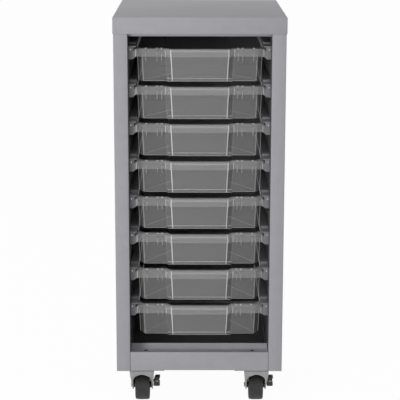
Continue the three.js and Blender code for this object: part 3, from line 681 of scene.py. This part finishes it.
def tray_marker(starts):
    """The rule that gives each face of the tray's skin its finish.

    Edges that would catch the light carry painted highlights, bright or soft, some with a painted glow.
    The front panels and most of the skirt's face carry a painted shade. The sides, the back and the inside
    are thin.
    """
    corner_of = [corner for _, _, corner in tray_outline(WALL_TOP)]
    open_wall = starts["wall"] - 1
    covered_wall = starts["skirt"] - 1
    skirt_face = starts["top_edge"] - 1
    rim_top = starts["mouth"] - 1
    foot_edge = [starts["foot"] + step for step in FILLET_MIDDLE]
    mouth_edge = (starts["mouth"], starts["mouth"] + 1)

    def mark(level, j):
        corner, following = corner_of[j], corner_of[(j + 1) % len(corner_of)]
        bend = corner == following
        middle_of_bend = bend and fillet_step(j) in FILLET_MIDDLE
        along_bulge = LEFT_ROOT <= corner <= following <= RIGHT_ROOT
        side_or_back = RIGHT_NEAR <= corner <= following <= LEFT_NEAR
        along_side = side_or_back and not RIGHT_FAR <= corner <= following <= LEFT_FAR
        front_panel = (corner, following) in ((RIGHT_ROOT, RIGHT_FRONT), (LEFT_FRONT, LEFT_ROOT))
        slope = (corner, following) in ((LEFT_ROOT, LEFT_EDGE), (RIGHT_EDGE, RIGHT_ROOT))
        # Painted highlights and painted shade follow, by level and corner
        if level in (open_wall, covered_wall):
            if middle_of_bend and corner in (LEFT_EDGE, RIGHT_EDGE):
                return BRIGHT_PAINTED_HIGHLIGHT
            if level == open_wall and bend and corner in (LEFT_NEAR, RIGHT_NEAR):
                return GLOWING_PAINTED_HIGHLIGHT
            if level == open_wall and middle_of_bend and corner in (LEFT_FRONT, RIGHT_FRONT):
                return SOFT_PAINTED_HIGHLIGHT
            if side_or_back:
                return THIN_WALL
            # The front panels beside the middle section get painted shade
            return PAINTED_SHADE_FACE if front_panel else CLEAR_FACE
        if level == skirt_face:
            if middle_of_bend and corner <= RIGHT_ROOT or bend and corner in FRONT_CORNERS:
                return SOFT_PAINTED_HIGHLIGHT
            # The skirt's face, except its slopes, gets painted shade
            return CLEAR_FACE if slope else PAINTED_SHADE_FACE
        if level == rim_top:
            return THIN_WALL if side_or_back else SOFT_PAINTED_HIGHLIGHT
        if skirt_face < level < rim_top and along_bulge:
            return ROUND_PAINTED_HIGHLIGHT
        if level in foot_edge and not side_or_back:
            return CLEAR_FACE if along_bulge else BRIGHT_PAINTED_HIGHLIGHT
        if level in mouth_edge and along_side:
            return GLOWING_PAINTED_HIGHLIGHT
        if level > rim_top or covered_wall < level < skirt_face or side_or_back:
            return THIN_WALL
        return CLEAR_FACE

    return mark


def add_ledge(bm):
    """The foot across the bottom of the middle section."""
    back = WALL_FOOT["front"] - WALL_FOOT["bulge"] + TRAY_WALL / 2
    front = back - TRAY_WALL / 2 - LEDGE_DEPTH
    side = WALL_FOOT["bulge_side"] + BULGE_SLOPE
    bottom = TRAY_FOOT / 2 - TRAY_HEIGHT
    top = bottom + LEDGE_HEIGHT
    outline = [
        (back, bottom),
        (front + LEDGE_EDGE, bottom),
        (front, bottom + LEDGE_EDGE),
        (front, top - LEDGE_EDGE),
        (front + LEDGE_EDGE, top),
        (back, top),
    ]
    # The ledge's lower and upper front edges carry painted highlights
    finishes = (THIN_WALL, BRIGHT_PAINTED_HIGHLIGHT, THIN_WALL, SOFT_PAINTED_HIGHLIGHT, THIN_WALL, THIN_WALL)
    rings = [[(x, y, z) for y, z in outline] for x in (-side, side)]
    made = join_rings(bm, rings, lambda level, j: finishes[j])
    close_ends(bm, made, THIN_WALL)


def add_crease(bm, side):
    """A low ridge across the floor, from a front corner towards the middle, coloured as a soft painted
    highlight.
    """
    near, far = (Vector((side * x, y, 0)) for x, y in (CREASE_NEAR, CREASE_FAR))
    up = Vector((0, 0, 1))
    across = (far - near).cross(up).normalized() * CREASE_HALF
    floor = up * (TRAY_WALL - TRAY_HEIGHT - CREASE_OVERLAP)
    rings = []
    for end in (near + floor, far + floor):
        rings.append([end - across, end + across, end + up * CREASE_HEIGHT])
    made = join_rings(bm, rings, lambda level, j: SOFT_PAINTED_HIGHLIGHT)
    close_ends(bm, made)


def add_gusset(bm, x):
    """A web between the skirt and the front wall, under a small dome on the rim; the web's lower edge and
    the dome are coloured as painted highlights.
    """
    skirt = RIM["front"] + RIM_THICKNESS - GUSSET_OVERLAP
    wall = WALL_TOP["front"] + GUSSET_OVERLAP
    lean = FRONT_LEAN * GUSSET_DROP / TRAY_HEIGHT
    under = GUSSET_OVERLAP - RIM_THICKNESS
    outline = [(skirt, under), (wall, under), (wall + lean, -GUSSET_DROP), (skirt, -RIM_SKIRT / 2)]
    *_, lower_edge, _ = add_prism(bm, outline, x - GUSSET_HALF, x + GUSSET_HALF, THIN_WALL)
    lower_edge.material_index = SOFT_PAINTED_HIGHLIGHT
    dome = (x, WALL_TOP["front"] - RIM_DOME_AHEAD, 0)
    add_dome(bm, dome, (0, 0, 1), RIM_DOME_RADIUS, RIM_DOME_HEIGHT, BRIGHT_PAINTED_HIGHLIGHT)


def tray_mesh():
    bm = bmesh.new()
    rings, starts = tray_rings()
    made = join_rings(bm, rings, tray_marker(starts))
    close_ends(bm, made, THIN_FLOOR)
    add_ledge(bm)
    add_crease(bm, 1)
    add_crease(bm, -1)
    for x in GUSSETS:
        add_gusset(bm, x)
        add_gusset(bm, -x)
    bmesh.ops.scale(bm, vec=(MM, MM, MM), verts=bm.verts)
    return mesh_from("tray", bm, *TRAY_FINISHES)


def make_trays():
    mesh = tray_mesh()
    for body in named(frame["bodies"], "tray_"):
        low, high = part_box(body)
        piece = add_piece(f"{body}_moulding", mesh, body, "tray_clear", (0, low.y, high.z))
        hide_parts(body)


# Casters

def wheel_profile(radius, hub_half):
    """Half of the wheel's section as (radius, distance from the middle), from the bore to the tread."""
    rim = radius - TYRE
    return [
        (BORE, hub_half),
        (HUB - HUB_CHAMFER, hub_half),
        (HUB, hub_half - HUB_CHAMFER),
        (HUB, HUB_FACE + HUB_FILLET),
        (HUB + HUB_FILLET, HUB_FACE),
        (rim - HUB_RIM - HUB_FILLET, HUB_FACE),
        (rim - HUB_RIM, HUB_FACE + HUB_CHAMFER),
        (rim - HUB_RIM / 2, WHEEL_HALF - HUB_RIM_SLOPE),
        (rim, WHEEL_HALF - HUB_RIM_SINK),
        (rim + GROOVE_BOTTOM, WHEEL_HALF - GROOVE_DEPTH),
        (rim + GROOVE_WIDTH, WHEEL_HALF - TYRE_SINK),
        *((radius - below, WHEEL_HALF - inward) for below, inward in TREAD_SHOULDER),
        (radius, WHEEL_HALF * TREAD_FLAT),
    ]


def wheel_mesh(node):
    low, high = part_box(node)
    radius = (low.z + high.z) / 2 / MM
    outer = wheel_profile(radius, (high.x - low.x) / 2 / MM)
    section = [(r, -along) for r, along in outer] + [(r, along) for r, along in reversed(outer)]
    rings = [
        [(along * MM, r * MM * out.x, r * MM * out.y) for out in around(WHEEL_STEPS)]
        for r, along in section
    ]
    tyre_start = next(i for i, (r, _) in enumerate(outer) if r > radius - TYRE)
    last = len(section) - 1
    bm = bmesh.new()
    made = join_rings(bm, rings, lambda level, j: int(tyre_start <= level < last - tyre_start))
    for j in range(WHEEL_STEPS):
        k = (j + 1) % WHEEL_STEPS
        bm.faces.new((made[-1][j], made[-1][k], made[0][k], made[0][j]))
    return mesh_from("wheel", bm, HUB_PLASTIC, MATERIALS["wheel_rubber"])


def make_wheels():
    bodies = named(frame["bodies"], "wheel_")
    mesh = wheel_mesh(bodies[0])
    for body in bodies:
        piece = add_piece(f"{body}_tread", mesh, body, "wheel_rubber", centre_of(body))
        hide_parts(body)


def make_rocker_links():
    """The steel link whose edge shows between the lobes of each brake rocker."""
    for node in [n for n in BODY_OF if SLOT_OF[n] == "rocker_plastic"]:
        low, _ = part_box(node)
        front, back = (low.y + side * LINK_PROUD * MM for side in (-1, 1))
        bottom = low.z + LINK_LOW * MM
        top = bottom + LINK_HEIGHT * MM
        outline = [(front, bottom), (back, bottom), (back, top), (front, top)]
        bm = bmesh.new()
        add_prism(bm, outline, low.x + LINK_START * MM, low.x + LINK_END * MM)
        mesh = mesh_from(f"{node}_link", bm, MATERIALS["fork_steel"])
        add_piece(f"{node}_link", mesh, BODY_OF[node], "fork_steel")


def add_hanging(bm, place, levels, steps):
    """A turned or many-sided piece under a plate, from its (radius, drop) levels in millimetres."""
    rings = []
    for radius, drop in levels:
        centre = Vector(place) - Vector((0, 0, drop * MM))
        rings.append([centre + radius * MM * out for out in around(steps)])
    made = join_rings(bm, rings)
    close_ends(bm, made)


def add_hex_bolt(bm, place):
    """A bolt head hanging under a plate: washer and chamfered hexagon."""
    reach = BOLT_ACROSS / math.sqrt(3)
    washer = reach + WASHER_MARGIN
    add_hanging(bm, place, [(washer, 0), (washer, WASHER_THICKNESS)], WASHER_STEPS)
    head = [
        (reach, WASHER_THICKNESS),
        (reach, BOLT_HEAD - BOLT_CHAMFER),
        (reach * BOLT_CHAMFER_SHARE, BOLT_HEAD),
    ]
    add_hanging(bm, place, head, BOLT_SIDES)


def make_plate_bolts():
    reach = PLATE_BOLT_SPACING / 2 * MM
    for node in named(BODY_OF, "caster_mount"):
        middle = centre_of(node)
        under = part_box(node)[1].z - PLATE_THICKNESS * MM
        bm = bmesh.new()
        for x in (middle.x - reach, middle.x + reach):
            for y in (middle.y - reach, middle.y + reach):
                add_hex_bolt(bm, (x, y, under))
        mesh = mesh_from(f"{node}_bolts", bm, MATERIALS["bolt_steel"])
        add_piece(f"{node}_bolts", mesh, "cabinet", "bolt_steel")


# Cabinet

def make_runner_screws():
    bm = bmesh.new()
    for node in named(BODY_OF, "runner_"):
        low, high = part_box(node)
        outer = low.x if node.endswith("left") else high.x
        inward = MM if node.endswith("left") else -MM
        place = (outer + inward * SCREW_INSET, low.y, high.z - SCREW_DROP * MM)
        add_dome(bm, place, (0, -1, 0), SCREW_RADIUS * MM, SCREW_HEIGHT * MM)
    mesh = mesh_from("runner_screws", bm, POLISHED_SCREW)
    add_piece("runner_screws", mesh, "cabinet", "bolt_steel")


def make_back_rivets():
    bm = bmesh.new()
    for node in ("left_side_panel", "right_side_panel"):
        low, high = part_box(node)
        x = low.x + RIVET_INSET * MM if node.startswith("left") else high.x - RIVET_INSET * MM
        count = int((high.z - low.z) / MM // RIVET_SPACING)
        for i in range(count):
            z = (low.z + high.z) / 2 + (i - (count - 1) / 2) * RIVET_SPACING * MM
            add_dome(bm, (x, high.y, z), (0, 1, 0), RIVET_RADIUS * MM, RIVET_HEIGHT * MM)
    mesh = mesh_from("back_rivets", bm, MATERIALS["body_paint"])
    add_piece("back_rivets", mesh, "cabinet", "body_paint")


make_rigid_copies()
make_trays()
make_wheels()
make_rocker_links()
make_plate_bolts()
make_runner_screws()
make_back_rivets()


# Studio

def seen_directly(tree):
    """1 for rays from the camera and for mirror and glass rays, 0 for the light that falls on things."""
    path = tree.nodes.new("ShaderNodeLightPath")
    seen = path.outputs["Is Camera Ray"]
    for ray in ("Is Glossy Ray", "Is Transmission Ray"):
        either = tree.nodes.new("ShaderNodeMath")
        either.operation = "MAXIMUM"
        tree.links.new(seen, either.inputs[0])
        tree.links.new(path.outputs[ray], either.inputs[1])
        seen = either.outputs["Value"]
    return seen


def make_world():
    world = bpy.data.worlds.new("studio")
    world.use_nodes = True
    bpy.context.scene.world = world
    tree = world.node_tree
    level = tree.nodes.new("ShaderNodeMapRange")
    level.inputs["To Min"].default_value = AMBIENT
    level.inputs["To Max"].default_value = BACKGROUND_WHITE
    tree.links.new(seen_directly(tree), level.inputs["Value"])
    background = tree.nodes["Background"]
    background.inputs["Color"].default_value = (1, 1, 1, 1)
    tree.links.new(level.outputs["Result"], background.inputs["Strength"])


def make_floor():
    half = FLOOR_SIZE / 2
    corners = [(-half, -half, 0), (half, -half, 0), (half, half, 0), (-half, half, 0)]
    mesh = bpy.data.meshes.new("floor")
    mesh.from_pydata(corners, [], [(0, 1, 2, 3)])
    floor = bpy.data.objects.new("floor", mesh)
    bpy.context.scene.collection.objects.link(floor)
    mat, tree, shader = new_material("floor_paper")
    shader.inputs["Base Color"].default_value = FLOOR_COLOUR
    shader.inputs["Roughness"].default_value = FLOOR_ROUGHNESS
    glow = tree.nodes.new("ShaderNodeEmission")
    mix = tree.nodes.new("ShaderNodeMixShader")
    share = tree.nodes.new("ShaderNodeMath")
    share.operation = "MULTIPLY"
    share.inputs[1].default_value = FLOOR_GLOW
    tree.links.new(seen_directly(tree), share.inputs[0])
    tree.links.new(share.outputs["Value"], mix.inputs["Fac"])
    tree.links.new(shader.outputs["BSDF"], mix.inputs[1])
    tree.links.new(glow.outputs["Emission"], mix.inputs[2])
    tree.links.new(mix.outputs["Shader"], tree.nodes["Material Output"].inputs["Surface"])
    mesh.materials.append(mat)


def make_lamp(name, place, size, power):
    """A square soft lamp that faces the middle of the unit and shows in no reflection."""
    lamp = bpy.data.lights.new(name, "AREA")
    lamp.size = size
    lamp.energy = power
    holder = bpy.data.objects.new(name, lamp)
    bpy.context.scene.collection.objects.link(holder)
    holder.location = place
    aim = (cad_box[0] + cad_box[1]) / 2 - holder.location
    holder.rotation_euler = aim.to_track_quat("-Z", "Y").to_euler()
    holder.visible_glossy = False
    holder.visible_transmission = False


def make_camera():
    data = bpy.data.cameras.new("camera")
    data.lens = CAMERA_LENS
    camera = bpy.data.objects.new("camera", data)
    bpy.context.scene.collection.objects.link(camera)
    camera.location = CAMERA_PLACE
    turn = (90 - CAMERA_PITCH, CAMERA_ROLL, -CAMERA_YAW)
    camera.rotation_euler = [math.radians(angle) for angle in turn]
    bpy.context.scene.camera = camera


make_world()
make_floor()
for lamp_name, lamp_values in LAMPS.items():
    make_lamp(lamp_name, **lamp_values)
make_camera()
bpy.context.scene.view_settings.view_transform = "Standard"
